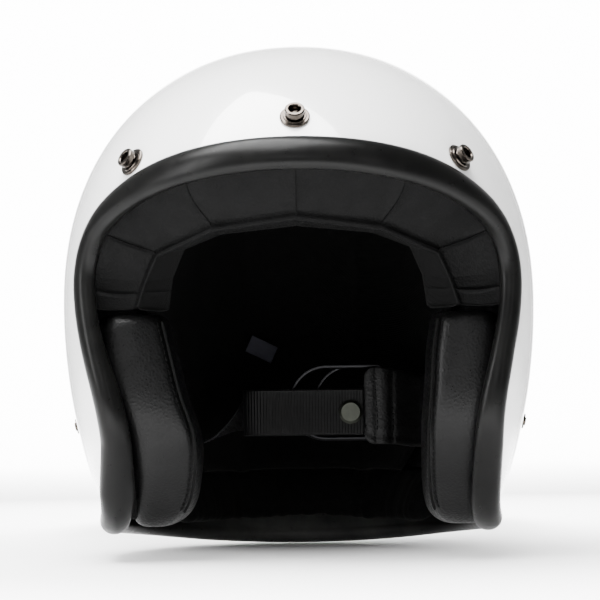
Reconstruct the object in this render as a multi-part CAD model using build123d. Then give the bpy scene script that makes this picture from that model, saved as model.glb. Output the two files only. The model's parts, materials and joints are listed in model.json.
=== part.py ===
from build123d import *
import os
from math import asin, cos, hypot, pi, sin, sqrt

# Open face helmet, millimetres.  +Z up, the face opening towards -Y, the wearer's left ear at +X.
# "left" and "right" in the node names are the sides as somebody facing the helmet sees them.
# Z = 0 is the plane that the helmet stands on, under the middle of its bounding box.

# ---------------------------------------------------------------- shell form
HALF_WIDTH = 124.6       # at the widest level
WIDEST_Z = 132.0         # height of the widest level
CROWN_RISE = 137.0       # widest level to the crown
CROWN_POWER = 2.17       # superellipse power of the upper half
LOWER_REACH = 193.0      # semi-axis of the ellipse of the lower half
LENGTH_RATIO = 1.284     # shell length over shell width
CENTRE_Y = -7.7          # shell axis, so that the bounding box is centred
SHELL_WALL = 3.0
BONDLINE = 0.3           # glue gap between nested shells
HOLE_EASE = 0.08         # radial ease of a rivet in its hole

# side view of the shell edge, (y from the shell axis, z): brow, cheek, lower corner, base, nape
BROW_Z = 204.5
FACE_EDGE = [(-113.0, 193.5), (-97.0, 183.0), (-84.0, 171.5), (-77.5, 160.0), (-75.3, 147.0),
             (-77.5, 131.0), (-81.5, 116.0), (-85.5, 101.0), (-88.0, 87.0), (-87.5, 73.0)]
CORNER_EDGE = [(-82.5, 58.0), (-75.0, 45.5), (-62.0, 31.0), (-46.0, 22.5)]
BASE_EDGE = [(-10.0, 19.0), (30.0, 17.0), (70.0, 13.5), (100.0, 9.5)]
NAPE_Z = 6.5
TRIM_RADIUS = 6.5
BEYOND_Y = 230.0         # outlines are closed out here, clear of the helmet
BEYOND_Z = 300.0

# ---------------------------------------------------------------- lining
IMPACT_DEPTH = 28.0      # foam thickness
COMFORT_DEPTH = 7.5      # crown padding thickness
LINING_SETBACK = 11.0    # how far the foam stands back from the shell edge
FOAM_SIDE_Z = 131.0      # lower edge of the foam above the ears
FOAM_NAPE_Z = 44.0       # lower edge of the foam at the nape
CHEEK_TOP_Z = 127.0
CHEEK_BOTTOM_Z = 17.0
CHEEK_FRONT = -80.0      # from the shell axis
CHEEK_BACK = -8.0
CHEEK_INNER_X = 57.0
CHEEK_FOAM_DEPTH = 12.5
CHEEK_GAP = 0.6
CUT_FLOOR_Z = -40.0      # inner domes reach below the outer ones, so that they cut right through
BROW_PAD_DEPTH = 11.5
BROW_FACE = [(-150.0, 198.0), (-136.0, 192.0), (-105.0, 176.0), (-88.0, 163.0),
             (-76.0, 148.0), (-72.0, 131.0)]
ROLL_OUTER_DEPTH = 10.0  # neck roll
ROLL_INNER_DEPTH = 30.0
ROLL_FRONT = 52.0
ROLL_LOW_Z = 15.0
ROLL_TOP_Z = 44.0

# ---------------------------------------------------------------- brow snaps
SNAP_Z = 222.0           # middle snap
SIDE_SNAP_X = 82.0
SIDE_SNAP_Z = 203.0
SNAP_BASE_R = 7.5
SNAP_HEAD_R = 5.0
SNAP_HEAD_LENGTH = 2.4
SNAP_NECK_R = 3.6
RIVET_R = 2.1

# ---------------------------------------------------------------- chin strap
ANCHOR_Y = -2.0
ANCHOR_Z = 69.5
ANCHOR_R = 2.6           # rivet shank
PIVOT_GAP = 0.05         # radial clearance of what turns on it
STRAP_Z = 75.0
STRAP_WIDTH = 25.0
STRAP_THICK = 1.4
STRAP_WALL_X = 108.4     # webbing at the anchor, middle of its thickness
BACK_Y = 32.6            # layer that runs behind the rings
FRONT_Y = 19.0           # layer that comes back in front of the rings
TAIL_Y = 15.4            # free end, folded over and snapped down
TURN_X = 31.0
FOLD_X = -22.7
FOLD_GAP = 1.7           # room at the fold for the free end to turn
TAIL_END_X = 34.0
CAP_X = 27.0
CAP_R = 6.4
RING_BAR_X = 45.0
RING_FRONT_Y = 24.0
RING_REAR_Y = 27.6
RING_WIRE_R = 1.5
RING_HALF = 19.4         # half height, to the middle of the wire
RING_Z = 80.3
FRONT_BOW_X = 14.1       # where the straight sides end and the bow begins
REAR_BOW_X = 27.6
LOOP_R = 4.6             # webbing round the bars of the rings
COVER_THICK = 8.0
COVER_HEIGHT = 38.0
COVER_Z = 75.5
COVER_END_X = 54.0
FLAP_END_X = 40.2        # the cover's front flap, over the bars of the rings
FLAP_Y = 19.2
FLAP_THICK = 1.8

os.makedirs("parts", exist_ok=True)


def save(node, shape):
    shape.label = node
    export_step(shape, "parts/" + node + ".step")


# ---------------------------------------------------------------- dome geometry
def width_at(z):
    """Half width of the outer surface at height z."""
    if z >= WIDEST_Z:
        rise = ((z - WIDEST_Z) / CROWN_RISE) ** CROWN_POWER
        return HALF_WIDTH * max(1 - rise, 0) ** (1 / CROWN_POWER)
    return HALF_WIDTH * sqrt(1 - ((WIDEST_Z - z) / LOWER_REACH) ** 2)


def profile_normal(radius, z):
    """Outward unit normal (radial, z) of the outer profile."""
    if z > WIDEST_Z:
        n_r = (radius / HALF_WIDTH) ** (CROWN_POWER - 1) / HALF_WIDTH
        n_z = ((z - WIDEST_Z) / CROWN_RISE) ** (CROWN_POWER - 1) / CROWN_RISE
    else:
        n_r = radius / HALF_WIDTH ** 2
        n_z = (z - WIDEST_Z) / LOWER_REACH ** 2
    size = hypot(n_r, n_z)
    return n_r / size, n_z / size


def profile_points(depth, floor_z):
    """Points down the outer profile, moved inwards by depth, from the crown to about floor_z."""
    points = []
    for step in range(13):
        turn = pi / 2 * (1 - step / 12)
        radius = HALF_WIDTH * max(cos(turn), 0) ** (2 / CROWN_POWER)
        z = WIDEST_Z + CROWN_RISE * sin(turn) ** (2 / CROWN_POWER)
        points.append((0.0 if step == 0 else radius, z))
    lowest = asin((WIDEST_Z - floor_z) / LOWER_REACH)
    for step in range(1, 7):
        turn = lowest * step / 6
        points.append((HALF_WIDTH * cos(turn), WIDEST_Z - LOWER_REACH * sin(turn)))
    moved = []
    for radius, z in points:
        n_r, n_z = profile_normal(radius, z)
        moved.append((radius - depth * n_r if radius else 0.0, z - depth * n_z))
    return moved


def length_ratio(depth):
    return (LENGTH_RATIO * HALF_WIDTH - depth) / (HALF_WIDTH - depth)


def dome(depth, floor_z=-30.0):
    """Solid bounded by the outer surface moved inwards by depth."""
    points = profile_points(depth, floor_z)
    curve = Spline(*[(r, 0, z) for r, z in points], tangents=[(1, 0, 0), (-0.55, 0, -1)])
    low = points[-1][1]
    sides = [Line((points[-1][0], 0, low), (0, 0, low)), Line((0, 0, low), (0, 0, points[0][1]))]
    solid = revolve(make_face([curve] + sides), Axis.Z)
    return Pos(0, CENTRE_Y, 0) * scale(solid, by=(1, length_ratio(depth), 1))


def depth_width(z, depth):
    n_r = profile_normal(width_at(z), z)[0]
    return width_at(z) - depth / n_r


def on_dome(y_rel, z, depth):
    """Point of the dome at this depth, on the +X side, y_rel from the shell axis."""
    reach = depth_width(z, depth)
    across = reach ** 2 - (y_rel / length_ratio(depth)) ** 2
    return Vector(sqrt(max(across, 0)), CENTRE_Y + y_rel, z)


def front_of(x, z, depth=0.0):
    """Point of the front of the dome at x and z, and the outward normal there."""
    reach = depth_width(z, depth)
    ratio = length_ratio(depth)
    y_rel = -ratio * sqrt(reach ** 2 - x ** 2)
    n_r, n_z = profile_normal(width_at(z), z)
    radial = Vector(x / reach, y_rel / reach / ratio ** 2, 0)
    normal = Vector(radial.X * n_r, radial.Y * n_r, n_z)
    return Vector(x, CENTRE_Y + y_rel, z), normal.normalized()


def side_of(y, z):
    """Point of the +X side of the shell at y and z, and the outward normal there."""
    y_rel = y - CENTRE_Y
    spot = on_dome(y_rel, z, 0.0)
    n_r, n_z = profile_normal(width_at(z), z)
    radial = Vector(spot.X / width_at(z), y_rel / width_at(z) / LENGTH_RATIO ** 2, 0)
    return spot, Vector(radial.X * n_r, radial.Y * n_r, n_z).normalized()


def side_prism(edges, x_from=-150.0, x_to=150.0):
    """Closed outline of YZ edges, extruded along X."""
    return Pos(x_from, 0, 0) * extrude(make_face(edges), x_to - x_from, dir=(1, 0, 0))


def yz(pair):
    """Point of the middle plane, from (y from the shell axis, z)."""
    return Vector(0, CENTRE_Y + pair[0], pair[1])


# ---------------------------------------------------------------- shell edge
def brow_start():
    """The brow end of the side outlines: a point in front of the shell, then the brow edge."""
    brow_y = -length_ratio(0) * width_at(BROW_Z)
    return [(brow_y - 25.0, BROW_Z + 9.0), (brow_y, BROW_Z)]


def closed_outline(curve_points, corners):
    """Spline through the first points, then straight lines through the corners and home."""
    path = [curve_points[-1]] + corners + [curve_points[0]]
    return [Spline(*curve_points)] + [Line(a, b) for a, b in zip(path, path[1:])]


def edge_outline():
    """Side outline of what is kept behind the face edge and above the base edge."""
    nape = [(122.0, NAPE_Z), (175.0, NAPE_Z)]
    points = [yz(p) for p in brow_start() + FACE_EDGE + CORNER_EDGE + BASE_EDGE + nape]
    corners = [Vector(0, BEYOND_Y, NAPE_Z), Vector(0, BEYOND_Y, BEYOND_Z), Vector(0, points[0].Y, BEYOND_Z)]
    return closed_outline(points, corners)


def rim_points():
    """Middle of the shell edge, once round from the brow, down the +X side to the nape and back."""
    mid = SHELL_WALL / 2
    brow = Vector(0, CENTRE_Y - length_ratio(mid) * depth_width(BROW_Z, mid), BROW_Z)
    nape = Vector(0, CENTRE_Y + length_ratio(mid) * depth_width(NAPE_Z, mid), NAPE_Z)
    half = [on_dome(y, z, mid) for y, z in FACE_EDGE + CORNER_EDGE + BASE_EDGE]
    return [brow] + half + [nape] + [Vector(-p.X, p.Y, p.Z) for p in reversed(half)]


shell_keep = side_prism(edge_outline())
outer_surface = dome(0)
shell_blank = (outer_surface - dome(SHELL_WALL, CUT_FLOOR_Z)) & shell_keep

rim = Spline(*rim_points(), periodic=True)
half_rim = rim.trim(0, 0.5)
trim_section = Plane(origin=half_rim @ 0, z_dir=half_rim % 0) * Circle(TRIM_RADIUS)
half_tube = sweep(trim_section, path=half_rim, is_frenet=True)
half_trim = half_tube - shell_blank
edge_trim = half_trim + mirror(half_trim, about=Plane.YZ)
trim_tube = half_tube + mirror(half_tube, about=Plane.YZ)


# ---------------------------------------------------------------- brow snaps
def snap_body():
    """Snap stud standing on z = 0: rolled base, washer step, neck and hollow rolled head."""
    head_z = 3.2
    top_z = head_z + SNAP_HEAD_LENGTH
    edges = [Polyline((RIVET_R, 0), (SNAP_BASE_R, 0), (SNAP_BASE_R, 0.9), (SNAP_BASE_R - 0.5, 1.3),
                      (5.9, 1.3), (5.7, 1.9), (SNAP_NECK_R + 0.4, 2.1), (SNAP_NECK_R, 2.6),
                      (SNAP_NECK_R, head_z - 0.3), (SNAP_HEAD_R, head_z), (SNAP_HEAD_R, top_z)),
             Line((SNAP_HEAD_R, top_z), (SNAP_HEAD_R - 0.5, top_z + 0.5)),
             Polyline((SNAP_HEAD_R - 0.5, top_z + 0.5), (3.4, top_z + 0.5), (3.0, top_z),
                      (2.7, 2.4), (RIVET_R, 2.2), (RIVET_R, 0))]
    section = make_face(edges)
    return revolve(Plane.XZ * section, Axis.Z)


def rivet_body():
    """Hollow rivet: shank through the shell, flange inside, domed end in the stud's socket."""
    shank = Pos(0, 0, -SHELL_WALL - 0.7) * extrude(Circle(RIVET_R), SHELL_WALL + 3.3)
    flange = Pos(0, 0, -SHELL_WALL - 1.6) * extrude(Circle(5.0), 0.9)
    end = Pos(0, 0, 2.6) * Cone(RIVET_R, 1.2, 0.8, align=(Align.CENTER, Align.CENTER, Align.MIN))
    return shank + flange + end


snap_spots = [("left", -SIDE_SNAP_X, SIDE_SNAP_Z), ("centre", 0.0, SNAP_Z),
              ("right", SIDE_SNAP_X, SIDE_SNAP_Z)]
snap_places = {}
for side, x, z in snap_spots:
    spot, normal = front_of(x, z)
    snap_places[side] = Plane(origin=spot, x_dir=(1, 0, 0), z_dir=normal)
    print("brow snap", side, [round(v, 3) for v in spot], [round(v, 5) for v in normal])

shell = shell_blank
for place in snap_places.values():
    shell -= place * Pos(0, 0, -8) * extrude(Circle(RIVET_R + HOLE_EASE), 14)
rivet_hole = Pos(100, ANCHOR_Y, ANCHOR_Z) * Rot(0, 90, 0) * extrude(Circle(ANCHOR_R + HOLE_EASE), 30)
shell -= rivet_hole
shell -= mirror(rivet_hole, about=Plane.YZ)

for side, place in snap_places.items():
    save("brow_snap_" + side, place * Pos(0, 0, 0.05) * snap_body())
save("brow_snap_rivets", Compound(children=[place * rivet_body() for place in snap_places.values()]))

# ---------------------------------------------------------------- foam and padding
foam_outer = SHELL_WALL + BONDLINE
foam_inner = foam_outer + IMPACT_DEPTH
comfort_outer = foam_inner + BONDLINE
comfort_inner = comfort_outer + COMFORT_DEPTH


def front_points(shift):
    """The face edge down to the cheeks, moved back and down by shift."""
    return [yz((y + shift, z + 0.6 * shift)) for y, z in brow_start() + FACE_EDGE[:5]]


def lining_outline(shift, side_z, nape_z):
    """Side outline of a lining layer: behind the brow edge, above the ears and down the nape."""
    points = front_points(shift)
    corners = [Vector(0, points[-1].Y + 2, side_z), Vector(0, CENTRE_Y + 34, side_z),
               Vector(0, CENTRE_Y + 60, nape_z), Vector(0, BEYOND_Y, nape_z),
               Vector(0, BEYOND_Y, BEYOND_Z), Vector(0, points[0].Y, BEYOND_Z)]
    return closed_outline(points, corners)


foam_side = lining_outline(LINING_SETBACK, FOAM_SIDE_Z, FOAM_NAPE_Z)
foam = (dome(foam_outer) - dome(foam_inner, CUT_FLOOR_Z)) & side_prism(foam_side)
for place in snap_places.values():
    foam -= place * Pos(0, 0, -8) * extrude(Circle(6.0), 8)

comfort_side = lining_outline(LINING_SETBACK + 3.0, FOAM_SIDE_Z, FOAM_NAPE_Z + 2.0)
crown_liner = (dome(comfort_outer) - dome(comfort_inner, CUT_FLOOR_Z)) & side_prism(comfort_side)


def brow_band():
    """Side outline between the foam's front face and the visible face of the brow pad."""
    back = front_points(LINING_SETBACK - 0.6)
    low_corner = Vector(0, back[-1].Y + 2, FOAM_SIDE_Z)
    face = [yz(p) for p in BROW_FACE]
    return [Spline(*back), Line(back[-1], low_corner), Line(low_corner, face[-1]),
            Spline(*reversed(face)), Line(face[0], back[0])]


brow_pad = (dome(BROW_PAD_DEPTH) - dome(comfort_inner, CUT_FLOOR_Z)) & side_prism(brow_band())
brow_pad -= trim_tube

roll_box = Pos(0, CENTRE_Y + ROLL_FRONT + 70, (ROLL_LOW_Z + ROLL_TOP_Z) / 2) * Box(
    260, 140, ROLL_TOP_Z - ROLL_LOW_Z)
neck_roll = (dome(ROLL_OUTER_DEPTH) - dome(ROLL_INNER_DEPTH, CUT_FLOOR_Z)) & roll_box

# ---------------------------------------------------------------- cheek pads
cheek_outline = [(CHEEK_FRONT + 6, CHEEK_TOP_Z), (CHEEK_BACK, CHEEK_TOP_Z),
                 (CHEEK_BACK, CHEEK_BOTTOM_Z + 3), (CHEEK_FRONT + 34, CHEEK_BOTTOM_Z),
                 (CHEEK_FRONT + 6, CHEEK_BOTTOM_Z + 34), (CHEEK_FRONT, 84.0)]


def cheek_block(outer_depth, inner_x, shrink):
    """Block inside the shell wall, seen from the side as the cheek outline less shrink."""
    outline = FilletPolyline(*[(CENTRE_Y + y, z) for y, z in cheek_outline], radius=12, close=True)
    face = make_face(outline)
    if shrink:
        face = offset(face, -shrink)
    prism = Pos(inner_x, 0, 0) * extrude(Plane.YZ * face, 150 - inner_x)
    return prism & dome(outer_depth)


foam_back = foam_outer + CHEEK_FOAM_DEPTH
plate_depth = foam_back + CHEEK_GAP
cheek_foam = cheek_block(foam_outer, 40.0, 4.0) - dome(foam_back, CUT_FLOOR_Z)
cheek_plate = cheek_block(plate_depth, 40.0, 6.0) - dome(plate_depth + 1.4, CUT_FLOOR_Z)
cheek_pad = cheek_block(plate_depth + 1.7, CHEEK_INNER_X, 0.0)
cheek_pad -= half_tube
cheek_foam -= half_tube
cheek_plate -= half_tube

snap_yz = [(-60.0, 96.0), (-26.0, 100.0), (-38.0, 46.0)]
cheek_studs = []
cheek_sockets = []
for y, z in snap_yz:
    wall = on_dome(y, z, plate_depth).X
    stud = Pos(wall - 0.8, CENTRE_Y + y, z) * Rot(0, 90, 0) * extrude(Circle(3.0), 5.6)
    cup = Pos(wall + 2.6, CENTRE_Y + y, z) * Rot(0, 90, 0) * extrude(Circle(5.5) - Circle(3.2), 2.6)
    lid = Pos(wall + 5.2, CENTRE_Y + y, z) * Rot(0, 90, 0) * extrude(Circle(5.5), 0.8)
    hole = Pos(wall - 8, CENTRE_Y + y, z) * Rot(0, 90, 0) * extrude(Circle(5.5), 14)
    cheek_foam -= hole
    cheek_plate -= stud
    cheek_studs.append(stud)
    cheek_sockets.append(cup + lid)
cheek_pad -= Compound(children=cheek_studs)



def save_both(node, shapes):
    """One node on each side of the helmet, from the shapes of the +X side."""
    mirrored = [mirror(shape, about=Plane.YZ) for shape in shapes]
    save(node + "_right", shapes[0] if len(shapes) == 1 else Compound(children=shapes))
    save(node + "_left", mirrored[0] if len(shapes) == 1 else Compound(children=mirrored))


save_both("cheek_foam", [cheek_foam])
save_both("cheek_plate", [cheek_plate])
save_both("cheek_pad", [cheek_pad])
save_both("cheek_snap_studs", cheek_studs)
save_both("cheek_snap_sockets", cheek_sockets)


# ---------------------------------------------------------------- chin strap
def webbing(edges, thick=STRAP_THICK, height=STRAP_WIDTH, middle_z=STRAP_Z):
    """Upright band whose plan is the given line."""
    return Pos(0, 0, middle_z - height / 2) * extrude(trace(edges, thick), height)


def leg(side, end_x, end_y):
    """Plan of a strap leg: flat on the shell wall at the anchor, then in towards the middle."""
    wall = side * STRAP_WALL_X
    start = Line((wall, ANCHOR_Y - 12), (wall, ANCHOR_Y + 12))
    sweep_in = Spline((wall, ANCHOR_Y + 12), (side * 98, 27.5), (side * 66, end_y),
                      tangents=[(0, 1), (-side, 0)])
    run = Line((side * 66, end_y), (end_x, end_y))
    return [start, sweep_in, run]


turn_y = (BACK_Y + FRONT_Y) / 2
turn_r = (BACK_Y - FRONT_Y) / 2
u_turn = ThreePointArc((TURN_X, BACK_Y), (TURN_X + turn_r, turn_y), (TURN_X, FRONT_Y))
front_run = Line((TURN_X, FRONT_Y), (FOLD_X, FRONT_Y))
fold_r = (FRONT_Y - TAIL_Y) / 2
fold = ThreePointArc((FOLD_X, FRONT_Y), (FOLD_X - fold_r, FRONT_Y - fold_r), (FOLD_X, TAIL_Y))
long_strap = webbing(leg(-1, TURN_X, BACK_Y) + [u_turn, front_run, fold])
tail_start = FOLD_X + FOLD_GAP
strap_tail = webbing([Line((tail_start, TAIL_Y), (TAIL_END_X, TAIL_Y))])

bars_y = (RING_FRONT_Y + RING_REAR_Y) / 2
loop_back = bars_y + LOOP_R
loop_front = bars_y - LOOP_R
bar_loop = [ThreePointArc((RING_BAR_X, loop_back), (RING_BAR_X - LOOP_R, bars_y), (RING_BAR_X, loop_front)),
            Spline((RING_BAR_X, loop_front), (RING_BAR_X + 12, loop_back - STRAP_THICK - 0.2),
                   tangents=[(1, 0), (1, 0)])]
right_leg = leg(1, RING_BAR_X, loop_back)
short_strap = webbing(right_leg + bar_loop)

cover_plan = [right_leg[1].trim(0.45, 1), Line((66, loop_back), (COVER_END_X, loop_back))]
flap_plan = [Line((FLAP_END_X, FLAP_Y), (48, FLAP_Y)),
             Spline((48, FLAP_Y), (60, loop_back - 2), tangents=[(1, 0), (1, 0.6)])]
strap_cover = (webbing(cover_plan, COVER_THICK, COVER_HEIGHT, COVER_Z)
               + webbing(flap_plan, FLAP_THICK, COVER_HEIGHT, COVER_Z))
strap_cover -= webbing(right_leg, STRAP_THICK + 0.4, STRAP_WIDTH + 0.4)
strap_cover -= webbing([bar_loop[1]], STRAP_THICK + 0.4, STRAP_WIDTH + 0.4)


def d_ring(y, bow_x):
    """Closed D of round wire: upright bar, two straight sides and a round bow."""
    top = RING_Z + RING_HALF
    low = RING_Z - RING_HALF
    corner = 4.0
    side_x = RING_BAR_X - corner
    wire = [Line((RING_BAR_X, y, low + corner), (RING_BAR_X, y, top - corner)),
            TangentArc((RING_BAR_X, y, top - corner), (side_x, y, top), tangent=(0, 0, 1)),
            Line((side_x, y, top), (bow_x, y, top)),
            ThreePointArc((bow_x, y, top), (bow_x - RING_HALF, y, RING_Z), (bow_x, y, low)),
            Line((bow_x, y, low), (side_x, y, low)),
            TangentArc((side_x, y, low), (RING_BAR_X, y, low + corner), tangent=(1, 0, 0))]
    section = Plane(origin=(RING_BAR_X, y, low + corner), z_dir=(0, 0, 1)) * Circle(RING_WIRE_R)
    return sweep(section, path=Wire(wire))


def along_y(radius, y_from, y_to, x=CAP_X):
    """Round pin along Y at the tail snap."""
    return Pos(x, y_from, STRAP_Z) * Rot(-90, 0, 0) * extrude(Circle(radius), y_to - y_from)


# tail snap: cap and socket on the tail, stud on the strap behind it
POST_R = 1.6
SOCKET_R = 5.6
STUD_R = 2.2
STUD_BASE_R = 4.6
STUD_FLANGE_R = 4.0
tail_front = TAIL_Y - STRAP_THICK / 2
tail_back = TAIL_Y + STRAP_THICK / 2
strap_front = FRONT_Y - STRAP_THICK / 2
strap_back = FRONT_Y + STRAP_THICK / 2
socket = along_y(SOCKET_R, tail_back, strap_front - 0.6)
socket -= along_y(STUD_R + 0.2, tail_back + 0.6, strap_front)
cap_cone = Cone(CAP_R, CAP_R - 1.4, 0.9, align=(Align.CENTER, Align.CENTER, Align.MIN))
cap = along_y(CAP_R, tail_front - 0.8, tail_front)
cap += Pos(CAP_X, tail_front - 0.8, STRAP_Z) * Rot(90, 0, 0) * cap_cone
tail_snap_cap = cap + along_y(POST_R, tail_front, tail_back) + socket
strap_tail -= along_y(POST_R, tail_front - 1, tail_back + 1)
strap_snap_stud = along_y(STUD_BASE_R, strap_front - 0.5, strap_front)
strap_snap_stud += along_y(STUD_R, strap_front - 1.4, strap_front)
strap_snap_stud += along_y(POST_R, strap_front, strap_back + 0.8)
strap_snap_stud += along_y(STUD_FLANGE_R, strap_back, strap_back + 0.8)
long_strap -= along_y(POST_R, strap_front - 1, strap_back + 1)


def along_x(radius, x_from, x_to):
    """Round pin along X on the strap's pivot line."""
    return Pos(x_from, ANCHOR_Y, ANCHOR_Z) * Rot(0, 90, 0) * extrude(Circle(radius), x_to - x_from)


PLATE_THICK = 1.3
plate_out = STRAP_WALL_X - STRAP_THICK / 2 - 0.2
plate_in = plate_out - PLATE_THICK
head_in = plate_in - 0.2
swing_hole = along_x(ANCHOR_R + PIVOT_GAP, 90, 130)
plate_plan = Plane.YZ * Pos(ANCHOR_Y, STRAP_Z) * RectangleRounded(21, 29, 4)
strap_anchor = Pos(plate_in, 0, 0) * extrude(plate_plan, PLATE_THICK, dir=(1, 0, 0)) - swing_hole
spacer = along_x(6.0, STRAP_WALL_X + STRAP_THICK / 2 + 0.2, STRAP_WALL_X + 3.4)
spacer -= along_x(ANCHOR_R + HOLE_EASE, 90, 130)
wall_spot, wall_normal = side_of(ANCHOR_Y, ANCHOR_Z)
outer_head = extrude(Circle(4.0), 1.4) + Pos(0, 0, 1.4) * extrude(Circle(2.2), 0.8)
rivet = along_x(5.0, head_in - 1.4, head_in) + along_x(ANCHOR_R, head_in, wall_spot.X + 0.9)
rivet += Plane(origin=wall_spot, z_dir=wall_normal) * Pos(0, 0, 0.08) * outer_head
short_strap -= swing_hole
long_strap -= mirror(swing_hole, about=Plane.YZ)

save("outer_shell", shell)
save("edge_trim", edge_trim)
save("impact_liner", foam)
save("crown_liner", crown_liner)
save("brow_pad", brow_pad)
save("neck_roll", neck_roll)
save("long_strap", long_strap)
save("strap_tail", strap_tail)
save("short_strap", short_strap)
save("strap_cover", strap_cover)
save("d_ring_front", d_ring(RING_FRONT_Y, FRONT_BOW_X))
save("d_ring_rear", d_ring(RING_REAR_Y, REAR_BOW_X))
save("tail_snap_cap", tail_snap_cap)
save("strap_snap_stud", strap_snap_stud)
save_both("strap_anchor", [strap_anchor])
save_both("strap_rivet", [rivet])
save_both("rivet_spacer", [spacer])

LABEL_SPOT = (-22.0, 97.0, 110.0)
label = Pos(*LABEL_SPOT) * Rot(8, 26, -6) * Box(16, 0.6, 10)
save("blank_label", label)
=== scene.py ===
"""Looks of the open face helmet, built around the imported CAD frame.

Lengths are millimetres, and metres where Blender or the frame takes them.
"""

import json
import math

import bmesh
import bpy
import numpy as np
from mathutils import Euler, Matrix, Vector, noise


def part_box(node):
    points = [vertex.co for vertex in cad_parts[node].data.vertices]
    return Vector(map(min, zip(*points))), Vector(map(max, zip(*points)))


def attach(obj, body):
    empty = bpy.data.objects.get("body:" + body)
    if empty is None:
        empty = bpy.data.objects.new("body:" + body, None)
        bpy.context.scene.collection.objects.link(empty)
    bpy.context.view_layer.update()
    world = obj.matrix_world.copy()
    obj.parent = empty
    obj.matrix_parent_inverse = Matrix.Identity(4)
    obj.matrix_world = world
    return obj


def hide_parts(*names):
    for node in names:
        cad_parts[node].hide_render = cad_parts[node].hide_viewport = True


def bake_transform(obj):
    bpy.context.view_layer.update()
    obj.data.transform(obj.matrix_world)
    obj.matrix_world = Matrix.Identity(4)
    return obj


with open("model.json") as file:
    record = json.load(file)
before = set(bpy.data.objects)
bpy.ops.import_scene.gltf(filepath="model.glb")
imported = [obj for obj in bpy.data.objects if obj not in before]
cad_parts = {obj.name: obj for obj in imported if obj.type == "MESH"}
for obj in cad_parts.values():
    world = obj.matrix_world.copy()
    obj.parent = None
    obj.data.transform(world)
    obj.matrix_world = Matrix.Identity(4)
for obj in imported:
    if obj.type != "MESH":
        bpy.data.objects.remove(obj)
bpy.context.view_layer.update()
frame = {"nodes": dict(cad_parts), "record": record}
MM = 0.001

# ---- form of the shell, as the CAD has it
shell_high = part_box("outer_shell")[1]
HALF_WIDTH = shell_high[0] / MM
WIDEST_Z = 132.0
CROWN_RISE = shell_high[2] / MM - WIDEST_Z
CROWN_POWER = 2.17
LOWER_REACH = 193.0
LENGTH_RATIO = 1.284
CENTRE_Y = shell_high[1] / MM - LENGTH_RATIO * HALF_WIDTH
SHELL_WALL = 3.0
NAPE_Z = 6.5
BROW_Z = 204.5
# shell edge seen from the side, (y from the shell axis, z): brow, cheek, lower corner, base
SHELL_EDGE = [(-113, 193.5), (-97, 183), (-84, 171.5), (-77.5, 160), (-75.3, 147),
              (-77.5, 131), (-81.5, 116), (-85.5, 101), (-88, 87), (-87.5, 73),
              (-82.5, 58), (-75, 45.5), (-62, 31), (-46, 22.5),
              (-10, 19), (30, 17), (70, 13.5), (100, 9.5)]


def width_at(z):
    """Half width of the outer surface at height z."""
    if z >= WIDEST_Z:
        rise = min(((z - WIDEST_Z) / CROWN_RISE) ** CROWN_POWER, 1.0)
        return HALF_WIDTH * (1 - rise) ** (1 / CROWN_POWER)
    return HALF_WIDTH * math.sqrt(1 - ((WIDEST_Z - z) / LOWER_REACH) ** 2)


def profile_normal(radius, z):
    """Outward unit normal (radial, z) of the outer profile."""
    if z > WIDEST_Z:
        n_r = (radius / HALF_WIDTH) ** (CROWN_POWER - 1) / HALF_WIDTH
        n_z = ((z - WIDEST_Z) / CROWN_RISE) ** (CROWN_POWER - 1) / CROWN_RISE
    else:
        n_r = radius / HALF_WIDTH ** 2
        n_z = (z - WIDEST_Z) / LOWER_REACH ** 2
    size = math.hypot(n_r, n_z)
    return n_r / size, n_z / size


def length_ratio(depth):
    return (LENGTH_RATIO * HALF_WIDTH - depth) / (HALF_WIDTH - depth)


def depth_width(z, depth):
    return width_at(z) - depth / profile_normal(width_at(z), z)[0]


def on_dome(y_rel, z, depth):
    """Point of the +X side of the shell surface moved inwards by depth."""
    reach = depth_width(z, depth)
    across = reach ** 2 - (y_rel / length_ratio(depth)) ** 2
    return np.array([math.sqrt(max(across, 0.0)), CENTRE_Y + y_rel, z])


def dome_normal(point):
    """Outward unit normal of the shell at a point near it."""
    x, y_rel, z = point[0], point[1] - CENTRE_Y, point[2]
    reach = math.hypot(x, y_rel / LENGTH_RATIO)
    n_r, n_z = profile_normal(width_at(z), z)
    normal = np.array([x / reach * n_r, y_rel / reach / LENGTH_RATIO ** 2 * n_r, n_z])
    return normal / np.linalg.norm(normal)


# ---- curve and mesh helpers
def distances(points):
    """How far along the line each of its points lies."""
    return np.concatenate([[0], np.cumsum(np.linalg.norm(np.diff(points, axis=0), axis=1))])


def read_line(points, knots, places):
    """Line whose points are given at the knots, read at other places."""
    return np.stack([np.interp(places, knots, column) for column in np.transpose(points)], axis=1)


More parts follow.
